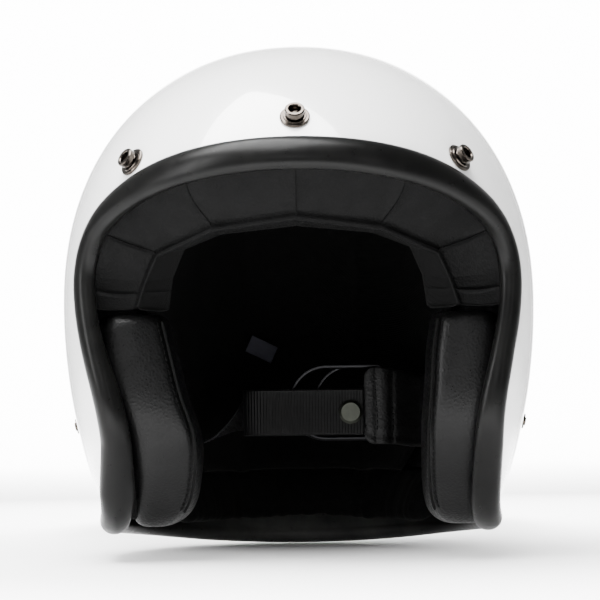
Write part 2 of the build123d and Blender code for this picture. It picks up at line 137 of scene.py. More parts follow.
def spline_through(points, count, closed=False):
    """Cubic spline through the points by chord length, sampled at count places."""
    pts = np.asarray(points, float)
    if closed:
        pts = np.vstack([pts, pts[:1]])
    gaps = np.linalg.norm(np.diff(pts, axis=0), axis=1)
    knots = distances(pts)
    n = len(pts)
    system = np.zeros((n, n))
    wanted = np.zeros((n, pts.shape[1]))
    for i in range(1, n - 1):
        system[i, i - 1: i + 2] = [gaps[i - 1], 2 * (gaps[i - 1] + gaps[i]), gaps[i]]
        wanted[i] = 6 * ((pts[i + 1] - pts[i]) / gaps[i] - (pts[i] - pts[i - 1]) / gaps[i - 1])
    if closed:
        system[0, 0], system[0, -1] = 1, -1
        system[-1, 0], system[-1, 1] = 2 * gaps[0], gaps[0]
        system[-1, -2], system[-1, -1] = gaps[-1], 2 * gaps[-1]
        wanted[-1] = 6 * ((pts[1] - pts[0]) / gaps[0] - (pts[-1] - pts[-2]) / gaps[-1])
    else:
        system[0, 0] = system[-1, -1] = 1
    bend = np.linalg.solve(system, wanted)
    places = np.linspace(0, knots[-1], count, endpoint=not closed)
    spans = np.clip(np.searchsorted(knots, places, side="right") - 1, 0, n - 2)
    out = []
    for place, i in zip(places, spans):
        h = gaps[i]
        a, b = (knots[i + 1] - place) / h, (place - knots[i]) / h
        curve = ((a ** 3 - a) * bend[i] + (b ** 3 - b) * bend[i + 1]) * h * h / 6
        out.append(a * pts[i] + b * pts[i + 1] + curve)
    return np.array(out)


def smooth_table(table, column):
    """Reads a table's column smoothly by its first column, a height or a place along X."""
    curve = spline_through([(row[0], row[column]) for row in sorted(table)], 200)
    return lambda key: float(np.interp(key, curve[:, 0], curve[:, 1]))


def unit(vector):
    return vector / np.linalg.norm(vector)


def blunt(value, power):
    """Power of a sine or cosine that keeps its sign, which squares up a round section."""
    return math.copysign(abs(value) ** power, value)


def configure(target, **settings):
    """Sets properties, or a node's inputs whose names are given with _ for a space."""
    for key, value in settings.items():
        if hasattr(target, key):
            setattr(target, key, value)
        else:
            target.inputs[key.replace("_", " ")].default_value = value


def new_object(name, data):
    obj = bpy.data.objects.new(name, data)
    bpy.context.collection.objects.link(obj)
    return obj


def fix_normals(obj):
    work = bmesh.new()
    work.from_mesh(obj.data)
    bmesh.ops.recalc_face_normals(work, faces=work.faces)
    work.to_mesh(obj.data)
    work.free()


def grid_piece(name, grid, wrap_rows=False, wrap_columns=False, caps=False):
    """Mesh object from a grid of points in mm, as rows of columns, joined into quads."""
    grid = np.asarray(grid)
    rows, columns = grid.shape[:2]
    vertices = (grid.reshape(-1, 3) * MM).tolist()
    faces = []
    for i in range(rows if wrap_rows else rows - 1):
        for j in range(columns if wrap_columns else columns - 1):
            right, down = (j + 1) % columns, (i + 1) % rows
            faces.append((i * columns + j, i * columns + right, down * columns + right, down * columns + j))
    if caps:
        faces.append(tuple(range(columns))[::-1])
        faces.append(tuple((rows - 1) * columns + j for j in range(columns)))
    mesh = bpy.data.meshes.new(name)
    mesh.from_pydata(vertices, [], faces)
    mesh.shade_smooth()
    obj = new_object(name, mesh)
    if wrap_rows or caps:
        fix_normals(obj)
    return obj


def coat(obj, material):
    obj.data.materials.append(material)


def subdivide(obj, levels):
    configure(obj.modifiers.new("subdivision", "SUBSURF"), levels=levels, render_levels=levels)


def thicken(obj, thickness, offset):
    configure(obj.modifiers.new("thickness", "SOLIDIFY"), thickness=thickness * MM, offset=offset)


# ---- camera, floor and light
LENS_MM = 192.78
SENSOR_MM = 36.0
CAMERA_DISTANCE = 1.7160
CAMERA_HEIGHT = 0.0933
CAMERA_TURN = math.radians(0.37)
CAMERA_PITCH = math.radians(1.4)
CAMERA_ROLL = math.radians(-0.7)
AIM_X = 0.0006


def make_camera():
    data = bpy.data.cameras.new("camera")
    configure(data, sensor_width=SENSOR_MM, lens=LENS_MM, clip_end=50)
    camera = new_object("camera", data)
    place = Vector((AIM_X + math.sin(CAMERA_TURN) * CAMERA_DISTANCE,
                    -math.cos(CAMERA_TURN) * CAMERA_DISTANCE, CAMERA_HEIGHT))
    camera.location = place
    camera.rotation_mode = "XYZ"
    aim = Vector((AIM_X, 0, CAMERA_HEIGHT + math.tan(CAMERA_PITCH) * CAMERA_DISTANCE))
    camera.rotation_euler = (aim - place).to_track_quat("-Z", "Y").to_euler("XYZ")
    camera.rotation_euler.rotate_axis("Z", CAMERA_ROLL)
    bpy.context.scene.camera = camera


def area_light(name, place, aim, size, power):
    data = bpy.data.lights.new(name, "AREA")
    configure(data, shape="RECTANGLE", size=size[0], size_y=size[1], energy=power)
    lamp = new_object(name, data)
    lamp.location = place
    lamp.rotation_euler = (Vector(aim) - Vector(place)).to_track_quat("-Z", "Y").to_euler()


# the paper sweep, in metres: flat floor to SWEEP_FLAT, a quarter round of SWEEP_ROUND, then a wall
SWEEP_HALF_WIDTH = 6.0
SWEEP_FRONT = -6.0
SWEEP_FLAT = 1.8
SWEEP_ROUND = 1.2
SWEEP_TOP = 3.6


def make_sweep():
    """Seamless pale sweep: floor, wide curve and back wall."""
    profile = [(y, 0.0) for y in (SWEEP_FRONT, -3.0, -1.0, 0.0, 1.0, SWEEP_FLAT)]
    for a in np.linspace(0.1, math.pi / 2, 14):
        profile.append((SWEEP_FLAT + SWEEP_ROUND * math.sin(a), SWEEP_ROUND * (1 - math.cos(a))))
    wall = SWEEP_FLAT + SWEEP_ROUND
    profile += [(wall, 2.2), (wall, SWEEP_TOP)]
    columns = np.linspace(-SWEEP_HALF_WIDTH, SWEEP_HALF_WIDTH, 25)
    grid = np.array([[(x / MM, y / MM, z / MM) for x in columns] for y, z in profile])
    sweep = grid_piece("floor", grid)
    coat(sweep, floor_material())


def make_lights():
    """White surroundings, brighter on the left than on the right, and four soft panels."""
    world = bpy.data.worlds.new("studio")
    world.use_nodes = True
    nodes = Nodes(world)
    backdrop = nodes.tree.nodes["Background"]
    backdrop.inputs["Color"].default_value = (1, 1, 1, 1)
    across = nodes.split(nodes.add("ShaderNodeTexCoord").outputs["Generated"])[0]
    nodes.link(nodes.remap(across, (-0.9, 0.9), (0.6, 0.15)), backdrop.inputs["Strength"])
    bpy.context.scene.world = world
    area_light("overhead", (-0.3, -0.25, 1.5), aim=(0, 0.05, 0.1), size=(1.3, 1.1), power=130)
    area_light("left_strip", (-1.5, -0.9, 0.75), aim=(0, 0, 0.13), size=(0.5, 1.3), power=36)
    area_light("right_strip", (1.3, -1.5, 0.75), aim=(0, 0, 0.13), size=(0.15, 0.9), power=3)
    area_light("front_fill", (-0.15, -2.3, 1.0), aim=(0, 0, 0.12), size=(1.2, 0.5), power=8)


# ---- materials
def rgba(colour):
    """Opaque colour from a triple, or from one number for a grey."""
    return (*colour, 1) if isinstance(colour, tuple) else (colour, colour, colour, 1)


class Nodes:
    """Node tree of a material or of the world, with short ways to add to it."""

    def __init__(self, owner):
        self.tree = owner.node_tree

    def add(self, kind, **settings):
        node = self.tree.nodes.new(kind)
        configure(node, **settings)
        return node

    def link(self, source, target):
        self.tree.links.new(source, target)

    def split(self, vector):
        """X, Y and Z of a vector."""
        node = self.add("ShaderNodeSeparateXYZ")
        self.link(vector, node.inputs["Vector"])
        return tuple(node.outputs)

    def length(self, vector):
        node = self.add("ShaderNodeVectorMath", operation="LENGTH")
        self.link(vector, node.inputs[0])
        return node.outputs["Value"]

    def remap(self, value, source, target):
        """Value carried smoothly from one range to another."""
        node = self.add("ShaderNodeMapRange", interpolation_type="SMOOTHERSTEP", From_Min=source[0],
                        From_Max=source[1], To_Min=target[0], To_Max=target[1])
        self.link(value, node.inputs["Value"])
        return node.outputs["Result"]

    def calc(self, operation, first, second=0.0):
        node = self.add("ShaderNodeMath", operation=operation)
        self.link(first, node.inputs[0])
        if isinstance(second, float):
            node.inputs[1].default_value = second
        else:
            self.link(second, node.inputs[1])
        return node.outputs[0]


class Finish(Nodes):
    """Principled material with its constants on the shader's own sockets, textured in object coordinates."""

    def __init__(self, name, colour, roughness, specular=0.5, **others):
        self.material = bpy.data.materials.new(name)
        self.material.use_nodes = True
        super().__init__(self.material)
        self.shader = self.tree.nodes["Principled BSDF"]
        configure(self.shader, Base_Color=rgba(colour), Roughness=roughness,
                  Specular_IOR_Level=specular, **others)
        self.place = self.mapped()

    def mapped(self, stretch=(1, 1, 1), shift=(0, 0, 0)):
        """Object coordinates, stretched and then shifted."""
        mapping = self.add("ShaderNodeMapping", Scale=stretch, Location=shift)
        self.link(self.add("ShaderNodeTexCoord").outputs["Object"], mapping.inputs["Vector"])
        return mapping.outputs["Vector"]

    def texture(self, kind, output, scale, vector=None, **settings):
        node = self.add("ShaderNodeTex" + kind, Scale=scale, **settings)
        self.link(self.place if vector is None else vector, node.inputs["Vector"])
        return node.outputs[output]

    def noise(self, scale, detail=3.0):
        return self.texture("Noise", "Fac", scale, Detail=detail)

    def waves(self, scale, direction, distortion=0.0):
        return self.texture("Wave", "Fac", scale, bands_direction=direction, Distortion=distortion)

    def ramp(self, value, low, high, start=0.3, end=0.7):
        """Colour or grey between low and high as value goes from start to end."""
        node = self.add("ShaderNodeValToRGB")
        first, last = node.color_ramp.elements
        first.position, last.position = start, end
        first.color, last.color = rgba(low), rgba(high)
        self.link(value, node.inputs["Fac"])
        return node.outputs["Color"]

    def vary(self, socket, value, low, high, start=0.3, end=0.7):
        """Drives a socket of the shader between low and high."""
        self.link(self.ramp(value, low, high, start, end), self.shader.inputs[socket])

    def bump(self, height, strength, distance, after=None):
        """Bumps the surface, on top of an earlier bump where one is given."""
        node = self.add("ShaderNodeBump", Strength=strength, Distance=distance)
        self.link(height, node.inputs["Height"])
        if after is not None:
            self.link(after, node.inputs["Normal"])
        self.link(node.outputs["Normal"], self.shader.inputs["Normal"])
        return node.outputs["Normal"]


# oval of paper where the glow is held back under and behind the helmet, a painted shadow: 0.155 by 0.27 m,
# its middle 0.27 m back
SHADOW_STRETCH = (1 / 0.155, 1 / 0.27, 1)
SHADOW_SHIFT = (0, -1, 0)


def floor_material():
    """White paper with a fine tooth that glows as painted light, strongly behind the helmet and faintly in
    front of it, held back to a painted shadow in an oval under it.
    """
    look = Finish("floor_paper", 0.88, 0.8, specular=0.1, Emission_Color=(1, 1, 1, 1))
    look.vary("Base Color", look.noise(900, 2), 0.86, 0.90)
    x, y, z = look.split(look.place)
    span = look.length(look.place)
    near, far = look.remap(span, (0.10, 0.50), (0.7, 5.0)), look.remap(span, (0.55, 1.1), (1.0, 0.0))
    pool = look.calc("MULTIPLY", near, far)
    back = look.remap(y, (0.1, 2.6), (0.0, 13.0))
    spread = look.calc("MULTIPLY", look.calc("MAXIMUM", y, 0.0), 0.1)
    beside = look.calc("SUBTRACT", look.calc("ABSOLUTE", x), spread)
    aside = look.remap(beside, (0.17, 0.40), (1.0, 0.0))
    above = look.remap(z, (0.75, 1.3), (1.0, 0.0))
    # painted shadow: inside this oval the glow falls to 0.04 of its strength
    oval = look.length(look.mapped(SHADOW_STRETCH, SHADOW_SHIFT))
    under = look.remap(oval, (0.65, 1.2), (0.04, 1.0))
    framed = look.calc("MULTIPLY", look.calc("MAXIMUM", pool, back), aside)
    glow = look.calc("MULTIPLY", look.calc("MULTIPLY", framed, above), under)
    look.link(glow, look.shader.inputs["Emission Strength"])
    return look.material


def shell_material():
    """Gloss white paint: clear coat over a faintly uneven base, with the finest orange peel."""
    look = Finish("shell_paint", (0.85, 0.85, 0.845), 0.22, Coat_Weight=1.0, Coat_Roughness=0.04)
    look.vary("Base Color", look.noise(9, 4), (0.835, 0.835, 0.83), (0.865, 0.865, 0.862))
    look.vary("Roughness", look.noise(40, 5), 0.18, 0.26)
    look.bump(look.noise(420, 2), 0.05, 0.00006)
    return look.material


def laminate_material():
    """Dark resin on the inside of the shell, mottled by the cloth under it."""
    look = Finish("shell_inside", 0.012, 0.55, specular=0.1)
    look.vary("Base Color", look.noise(140, 4), 0.004, 0.010)
    look.bump(look.noise(420), 0.3, 0.0002)
    return look.material


def rubber_material():
    """Black rubber, painted lighter grey on the forward-facing side of the nape, where light falls into the
    helmet.
    """
    look = Finish("trim_rubber", 0.005, 0.32, specular=0.09)
    # painted light: the forward-facing rubber at the nape is made up to 14 times greyer than the rest
    backwards = look.split(look.add("ShaderNodeNewGeometry").outputs["Normal"])[1]
    inner = look.remap(look.calc("MULTIPLY", backwards, -1.0), (0.1, 0.5), (0.0, 1.0))
    nape = look.remap(look.split(look.place)[1], (0.04, 0.12), (0.0, 13.0))
    rear = look.calc("ADD", look.calc("MULTIPLY", inner, nape), 1.0)
    colour_with_painted_light = look.add("ShaderNodeVectorMath", operation="SCALE")
    look.link(look.ramp(look.noise(60, 6), 0.002, (0.004, 0.004, 0.0038)), colour_with_painted_light.inputs[0])
    look.link(rear, colour_with_painted_light.inputs["Scale"])
    look.link(colour_with_painted_light.outputs[0], look.shader.inputs["Base Color"])
    look.vary("Roughness", look.noise(220, 4), 0.27, 0.36)
    fine = look.bump(look.noise(2600, 2), 0.12, 0.00008)
    look.bump(look.noise(130, 2), 0.1, 0.0003, after=fine)
    return look.material


def leather_material(name, grain, depth, shine, tone, gloss):
    """Pebbled leatherette: rounded cells with creases between them, shinier on the crests."""
    look = Finish(name, tone, shine, specular=gloss)
    warp = look.add("ShaderNodeVectorMath", operation="MULTIPLY_ADD")
    look.link(look.texture("Noise", "Color", 220), warp.inputs[0])
    warp.inputs[1].default_value = (0.0022, 0.0022, 0.0022)
    look.link(look.place, warp.inputs[2])
    cells = look.texture("Voronoi", "Distance", grain, warp.outputs[0],
                         feature="SMOOTH_F1", Smoothness=0.35)
    creases = look.noise(90, 5)
    crest = tone * 1.45
    look.vary("Base Color", creases, tone * 0.65, (crest, crest, crest * 1.02))
    look.vary("Roughness", cells, shine - 0.06, shine + 0.14, 0.1, 0.7)
    fine = look.bump(look.ramp(cells, 1.0, 0.0, 0.05, 0.75), 0.55, depth)
    look.bump(creases, 0.2, 0.0003, after=fine)
    return look.material


# wave scale for ribs 0.7 mm apart
KNIT_SCALE = 0.32 / 0.0007


def fabric_material(name, tone):
    """Brushed knit: fine crossed ribs under a soft nap, with sheen."""
    look = Finish(name, tone, 0.85, specular=0.05, Sheen_Weight=0.01, Sheen_Roughness=0.5)
    nap = look.noise(1500, 4)
    look.vary("Base Color", nap, tone * 0.6, tone * 1.7)
    fine = look.bump(look.waves(KNIT_SCALE, "DIAGONAL", 1.2), 0.5, 0.0002)
    look.bump(nap, 0.4, 0.0003, after=fine)
    return look.material


def webbing_material():
    """Woven nylon: fine threads across the ribs, with a little fuzz."""
    look = Finish("webbing", 0.002, 0.35, specular=0.12, Sheen_Weight=0.02, Sheen_Roughness=0.35)
    fuzz = look.noise(1800)
    look.vary("Base Color", fuzz, 0.001, 0.002)
    look.vary("Roughness", fuzz, 0.30, 0.42)
    fine = look.bump(look.waves(480, "Z", 0.4), 0.6, 0.00015)
    look.bump(fuzz, 0.3, 0.00015, after=fine)
    return look.material


def metal_material(name, colour, roughness):
    """Metal with faint smudges and finely scattered wear."""
    look = Finish(name, colour, roughness, Metallic=1.0)
    look.vary("Base Color", look.noise(320, 5), tuple(c * 0.8 for c in colour), colour)
    look.vary("Roughness", look.noise(900, 4), roughness, roughness + 0.08)
    look.bump(look.noise(1500), 0.08, 0.00005)
    return look.material


def foam_material():
    """Expanded foam: closed beads a few millimetres across."""
    look = Finish("foam", 0.006, 0.8, specular=0.06)
    beads = look.texture("Voronoi", "Distance", 300)
    look.vary("Base Color", beads, 0.005, 0.002, 0.1, 0.7)
    look.bump(look.ramp(beads, 1.0, 0.0, 0.1, 0.8), 0.6, 0.0005)
    return look.material


def plastic_material():
    """Moulded plastic with a fine spark texture."""
    look = Finish("backing_plastic", 0.008, 0.45, specular=0.12)
    spark = look.noise(1200)
    look.vary("Base Color", spark, 0.003, 0.006)
    look.bump(spark, 0.3, 0.0001)
    return look.material


def label_material():
    """Grey woven tape."""
    look = Finish("label_fabric", (0.03, 0.03, 0.036), 0.7, specular=0.1)
    weave = look.waves(700, "Z")
    look.vary("Base Color", weave, (0.018, 0.018, 0.023), (0.033, 0.033, 0.042))
    look.bump(weave, 0.4, 0.0001)
    return look.material


# ---- shell edge
def rim_points():
    """Middle of the shell edge, once round from the brow, down the +X side to the nape and back."""
    mid = SHELL_WALL / 2
    brow = np.array([0, CENTRE_Y - length_ratio(mid) * depth_width(BROW_Z, mid), BROW_Z])
    nape = np.array([0, CENTRE_Y + length_ratio(mid) * depth_width(NAPE_Z, mid), NAPE_Z])
    half = [on_dome(y, z, mid) for y, z in SHELL_EDGE]
    return [brow] + half + [nape] + [p * (-1, 1, 1) for p in reversed(half)]


def rim_frames(points):
    """For each point of the closed rim: outward shell normal, and the way into the opening."""
    tangents = np.roll(points, -1, axis=0) - np.roll(points, 1, axis=0)
    normals, inwards = [], []
    for point, tangent in zip(points, tangents):
        outwards = dome_normal(point)
        across = unit(np.cross(tangent, outwards))
        square = unit(np.cross(across, tangent))
        inwards.append(across)
        normals.append(square if np.dot(square, outwards) > 0 else -square)
    return np.array(normals), np.array(inwards)


RIM_COUNT = 360
rim = spline_through(rim_points(), RIM_COUNT, closed=True)
rim_normal, rim_inward = rim_frames(rim)

# section of the edge trim: (into the opening, out of the shell)
TRIM_SECTION = [(-7.2, 1.75), (-7.6, 2.3), (-7.3, 3.2), (-5.6, 4.5), (-3, 5.5), (0.2, 5.9), (3.2, 5.2),
                (5.5, 3.3), (6.5, 0.6), (6.1, -2.2), (4.3, -4.2), (2.2, -4.5), (0.9, -4.1),
                (-0.4, -4.4), (-2.6, -4.8), (-5.2, -4.4), (-7, -3.6), (-7.4, -2.6),
                (-7, -1.75), (-2.2, -1.7), (-2.2, 1.7)]
# shares by which the trim's depth grows at the brow and its lips at the nape
BROW_STRETCH = 0.6
NAPE_STRETCH = 0.5
# how full the trim is outside and inside the shell, by height: (z, times the section)
TRIM_SWELL = {
    "left": ([(24, 2), (38, 2.1), (62, 1)], [(20, 1.4), (34, 2.4), (60, 2.7), (85, 2.2), (120, 1)]),
    "right": ([(24, 2.1), (60, 2), (82, 1.5), (108, 1)], [(20, 1), (120, 1)]),
}
# half the height of the channel that the shell sits in, which doesn't grow
TRIM_FLAT = 1.75


def trim_reach(section, point):
    """How far the section reaches past the edge: deeper at the brow, with taller lips at the nape."""
    deeper = 1 + BROW_STRETCH * float(np.interp(point[2], [168, 200], [0, 1]))
    rear = float(np.clip((point[1] - CENTRE_Y - 60) / 30, 0, 1))
    return np.where(section[:, :1] > 0, section[:, :1] * deeper, section[:, :1] * (1 + NAPE_STRETCH * rear))


def trim_rise(section, point):
    """Height of the section off the shell, fuller at the lower corners of the face opening."""
    front = float(np.clip((CENTRE_Y - 20 - point[1]) / 25, 0, 1))
    rise = section[:, 1:]
    over, under = (1 + (np.interp(point[2], *np.transpose(table)) - 1) * front
                   for table in TRIM_SWELL["left" if point[0] < 0 else "right"])
    return np.where(rise > TRIM_FLAT, TRIM_FLAT + (rise - TRIM_FLAT) * over,
                    np.where(rise < -TRIM_FLAT, -TRIM_FLAT + (rise + TRIM_FLAT) * under, rise))


def make_trim():
    """Rubber channel on the shell edge: round bead outside, a lip with its own roll inside."""
    section = np.array(TRIM_SECTION)
    rows = []
    for point, normal, inward in zip(rim, rim_normal, rim_inward):
        rows.append(point + trim_reach(section, point) * inward + trim_rise(section, point) * normal)
    trim = grid_piece("edge_trim_rubber", rows, wrap_rows=True, wrap_columns=True)
    subdivide(trim, 2)
    coat(trim, rubber_material())
    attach(trim, "helmet")
    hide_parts("edge_trim")


# ---- brow pad and its fabric ring
# stations from the middle to the temple: rim height, then the pad's seam and the ring's edge as (x, y from
# the shell axis, z)
BROW_STATIONS = [
    (204.5, (0, -113, 174.5), (0, -105, 169.5)),
    (198, (41.5, -104, 169.5), (38, -97, 166)),
    (170.5, (70, -86, 157.5), (57, -79, 159.5)),
    (147, (77, -77, 143.5), (63.5, -68, 145.5)),
    (130.5, (82, -75, 130), (66, -62, 129.5)),
]
BROW_END = len(BROW_STATIONS) - 1
# seams between the panels, as places among the stations, how far they bow and how wide they sink
BROW_SEAMS = (1, 2, 3.42)
SEAM_BOW = 0.07
SEAM_WIDTH = 0.11
# how far the leatherette crowns at a seam and what a panel adds, then the same for the knit
PAD_CROWN, PAD_SWELL = 1.3, 1.5
KNIT_CROWN, KNIT_SWELL = 0.5, 1.6
BROW_ALONG, BROW_ACROSS = 641, 26


def rim_index_at(height):
    """Index along the +X side of the face edge where the rim is at this height."""
    half = rim[: RIM_COUNT // 3]
    return int(np.argmin(np.abs(half[:, 2] - height)))


def read_between(values, t):
    """Values given at the whole numbers, read in a straight line between them."""
    i = min(int(t), len(values) - 2)
    f = t - i
    return np.array(values[i]) * (1 - f) + np.array(values[i + 1]) * f


def brow_guides(q):
    """Outer edge, pad seam and ring edge of the brow pad at q from -1 (left) to 1 (right)."""
    t = abs(q) * BROW_END
    index = read_between([[rim_index_at(s[0])] for s in BROW_STATIONS], t)[0]
    low = int(index)
    place, normal, inward = (read_between(table[low: low + 2], index - low)
                             for table in (rim, rim_normal, rim_inward))
    outer = place + unit(inward) * 1.5 - unit(normal) * 4.5
    seam, ring = (read_between([s[k] for s in BROW_STATIONS], t) + (0, CENTRE_Y, 0) for k in (1, 2))
    turn = np.array([-1 if q < 0 else 1, 1, 1])
    return outer * turn, seam * turn, ring * turn, t


def panel_swell(t):
    """0 at the seams between the brow pad's panels, 1 in the middle of a panel."""
    gap = min(abs(t - seam) for seam in (0, *BROW_SEAMS, BROW_END))
    return min(1.0, (gap / SEAM_WIDTH) ** 0.5)


def brow_rows(q):
    """One row of points across the leatherette, and one across the knitted ring and its turned-in edge."""
    outer, seam, ring, t = brow_guides(q)
    face = seam - outer
    facing = unit(np.cross(face, brow_guides(min(q + 0.01, 1))[0] - brow_guides(max(q - 0.01, -1))[0]))
    if np.dot(facing, np.array([0, CENTRE_Y - 40, 120]) - outer) < 0:
        facing = -facing
    pad_row = []
    for v in np.linspace(0, 1, BROW_ACROSS):
        panel = panel_swell(max(t - SEAM_BOW * math.sin(math.pi * v) * min(t, 1), 0))
        crown = math.sin(math.pi * v) ** 0.6 * (PAD_CROWN + PAD_SWELL * panel)
        tuck = -3.0 * max(0, v - 0.93) / 0.07
        pad_row.append(outer + face * v + facing * (crown + tuck - 0.5))
    band = ring - seam
    back = ring + np.array([0, 26, 2]) + band * 0.2
    ring_row = []
    for v in np.linspace(0, 1, 14):
        crown = math.sin(math.pi * v) ** 0.6 * (KNIT_CROWN + KNIT_SWELL * panel_swell(t))
        ring_row.append(seam + band * v + facing * (crown - 2.0 * (1 - v) ** 4))
    away = unit(np.array([ring[0], 0, ring[2] - 110]))
    for v in np.linspace(0.12, 1, 10):
        ring_row.append(ring * (1 - v) + back * v + away * 5 * math.sin(v * 1.5))
    return pad_row, ring_row


def make_brow_seams(grid):
    """Dark thread in the seams between the leatherette panels."""
    lines = []
    for side, seam in [(1, 0)] + [(side, seam) for seam in BROW_SEAMS for side in (-1, 1)]:
        line = []
        for j in range(1, BROW_ACROSS - 1):
            t = seam + SEAM_BOW * math.sin(math.pi * j / (BROW_ACROSS - 1)) * min(seam, 1)
            place = (BROW_ALONG - 1) / 2 * (1 + side * t / BROW_END)
            low = int(place)
            line.append(read_between(grid[low: low + 2, j], place - low))
        lines.append(tube("brow_seam", line, radius=0.4, sides=6))
    return join_pieces("brow_pad_seams", lines)


def make_brow_pad():
    """Leatherette panels over the foam's front face, then the knitted ring behind their seam."""
    pad_rows, ring_rows = zip(*(brow_rows(q) for q in np.linspace(-1, 1, BROW_ALONG)))
    pad = grid_piece("brow_pad_cover", pad_rows)
    seams = make_brow_seams(np.array(pad_rows))
    ring = grid_piece("brow_ring_knit", ring_rows)
    leather = leather_material("brow_leatherette", grain=900, depth=0.00022, shine=0.46,
                               tone=0.0013, gloss=0.055)
    knit = fabric_material("ring_knit", tone=0.0015)
    for piece, material, slot in ((pad, leather, "leatherette"), (ring, knit, "lining_fabric")):
        coat(piece, material)
        thicken(piece, thickness=1.2, offset=-1)
        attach(piece, "helmet")
    coat(seams, knit)
    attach(seams, "helmet")
    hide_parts("brow_pad")


# ---- soft helpers
FORWARDS = np.array([0.0, -1.0, 0.0])


def apply_modifiers(obj):
    depsgraph = bpy.context.evaluated_depsgraph_get()
    mesh = bpy.data.meshes.new_from_object(obj.evaluated_get(depsgraph))
    obj.modifiers.clear()
    obj.data = mesh


CLOTH_FRAMES = 20


def inflate(obj, pressure, cap, pinned=None, shrink=0.0):
    """Short cloth simulation with air pressure; no point ends further than the cap from its start."""
    start = np.array([v.co[:] for v in obj.data.vertices])
    cloth = obj.modifiers.new("cloth", "CLOTH")
    configure(cloth.settings, quality=6, mass=0.15, tension_stiffness=18, compression_stiffness=18,
              bending_stiffness=1.5, use_pressure=True, uniform_pressure_force=pressure, shrink_min=shrink)
    cloth.settings.effector_weights.gravity = 0
    if pinned is not None:
        group = obj.vertex_groups.new(name="pin")
        for index, point in enumerate(start):
            group.add([index], pinned(point / MM), "REPLACE")
        cloth.settings.vertex_group_mass = "pin"
    cloth.collision_settings.use_collision = False
    configure(cloth.point_cache, frame_start=1, frame_end=CLOTH_FRAMES)
    scene = bpy.context.scene
    for step in range(1, CLOTH_FRAMES + 1):
        scene.frame_set(step)
    apply_modifiers(obj)
    scene.frame_set(1)
    for vertex, origin in zip(obj.data.vertices, start):
        move = np.array(vertex.co[:]) - origin
        size = np.linalg.norm(move)
        if size > cap * MM:
            vertex.co = origin + move * (cap * MM / size)


def tube(name, path, radius, sides=10):
    """Round thread or piping along a path."""
    points = np.asarray(path, float)
    angles = np.arange(sides) * 2 * math.pi / sides
    rows = []
    across = np.zeros(3)
    for point, tangent in zip(points, np.gradient(points, axis=0)):
        tangent = unit(tangent)
        if not rows:
            across = unit(np.cross(tangent, (0.31, 0.22, 0.92)))
        across = unit(across - tangent * np.dot(across, tangent))
        other = np.cross(tangent, across)
        rows.append([point + radius * (math.cos(a) * across + math.sin(a) * other) for a in angles])
    return grid_piece(name, rows, wrap_columns=True, caps=True)


def join_pieces(name, pieces):
    """One mesh object from several."""
    bpy.ops.object.select_all(action="DESELECT")
    for piece in pieces:
        piece.select_set(True)
    bpy.context.view_layer.objects.active = pieces[0]
    bpy.ops.object.join()
    pieces[0].name = name
    pieces[0].data.name = name
    return pieces[0]


def stitches(name, path, length, gap, radius):
    """Row of short threads on a face that looks forwards, each sunk a little at its ends."""
    points = np.asarray(path, float)
    reach = distances(points)
    lift = np.sin(np.linspace(0, math.pi, 6))[:, None] * 0.45 - 0.25
    pieces = []
    place = gap
    while place + length < reach[-1]:
        line = read_line(points, reach, np.linspace(place, place + length, 6))
        pieces.append(tube(name + "_thread", line + FORWARDS * lift, radius, sides=6))
        place += length + gap
    return join_pieces(name, pieces)


# ---- cheek pads
# height, inner edge, outer edge, from the middle plane
CHEEK_EDGES = {
    "left": [(127, 69.5, 98.8), (124, 69, 98.4), (113, 66.5, 97.4), (98, 63, 94), (83, 59, 88.5),
             (68, 54, 83.2), (57, 52.5, 80.8), (42, 54, 80.4), (29, 57.5, 82.5), (17, 66, 86)],
    "right": [(127, 71, 99.6), (121, 70.4, 99.2), (108, 68.4, 98.5), (96, 67.6, 97.4), (83, 66.6, 96),
              (68, 65.4, 94), (57, 65.3, 93), (42, 65.8, 92), (27, 68.2, 94.4), (17, 72.5, 96.5)],
}
# front of the pad: (y from the shell axis, z)
CHEEK_FRONT_LINE = [(127, -75.5), (118, -77), (100, -80), (84, -81.5), (68, -79.5), (56, -75),
                    (45, -67.5), (35, -58.5), (26, -50), (17, -43.0)]
CHEEK_BACK_Y = -8.0
CHEEK_TOP_Z, CHEEK_LOW_Z = 127.0, 17.0
CHEEK_ROUND_TOP, CHEEK_ROUND_LOW = 6.0, 9.0
# depth of the pads' back face under the outer surface, and how much fuller than their front edge they get
CHEEK_DEPTH = 18.6
CHEEK_FULLER = {"left": 5.5, "right": 4.5}
# reach and depth of the groove along the seam
GROOVE_REACH, GROOVE_DEPTH = 3.2, 1.3


def cheek_section(z, inner, outer, front):
    """Closed section of a cheek pad at one height, on the +X side."""
    yf, yb = CENTRE_Y + front, CENTRE_Y + CHEEK_BACK_Y
    wall_mid, wall_back = (on_dome(y, max(z, 20.0), CHEEK_DEPTH)[0]
                           for y in ((front + CHEEK_BACK_Y) / 2, CHEEK_BACK_Y))
    outer_mid = min(wall_mid, outer + 11)
    width = outer - inner
    depth = yb - yf
    points = [(inner - 0.6, yf + 8.5), (inner + 1.2, yf + 3.6), (inner + width * 0.30, yf - 0.6),
              (inner + width * 0.66, yf - 1.8), (outer - 1.8, yf + 1.4), (outer + 0.6, yf + 6.5),
              (outer_mid - 1.0, yf + depth * 0.45), (wall_back - 0.6, yb - 10), (wall_back - 5, yb - 0.8),
              ((inner + wall_back) / 2, yb + 0.4), (inner + 7, yb - 0.6), (inner + 0.8, yb - 8),
              (inner - 2.2, yf + depth * 0.62), (inner - 2.6, yf + depth * 0.34)]
    loop = spline_through(points, 72, closed=True)
    return np.column_stack([loop, np.full(len(loop), z)])


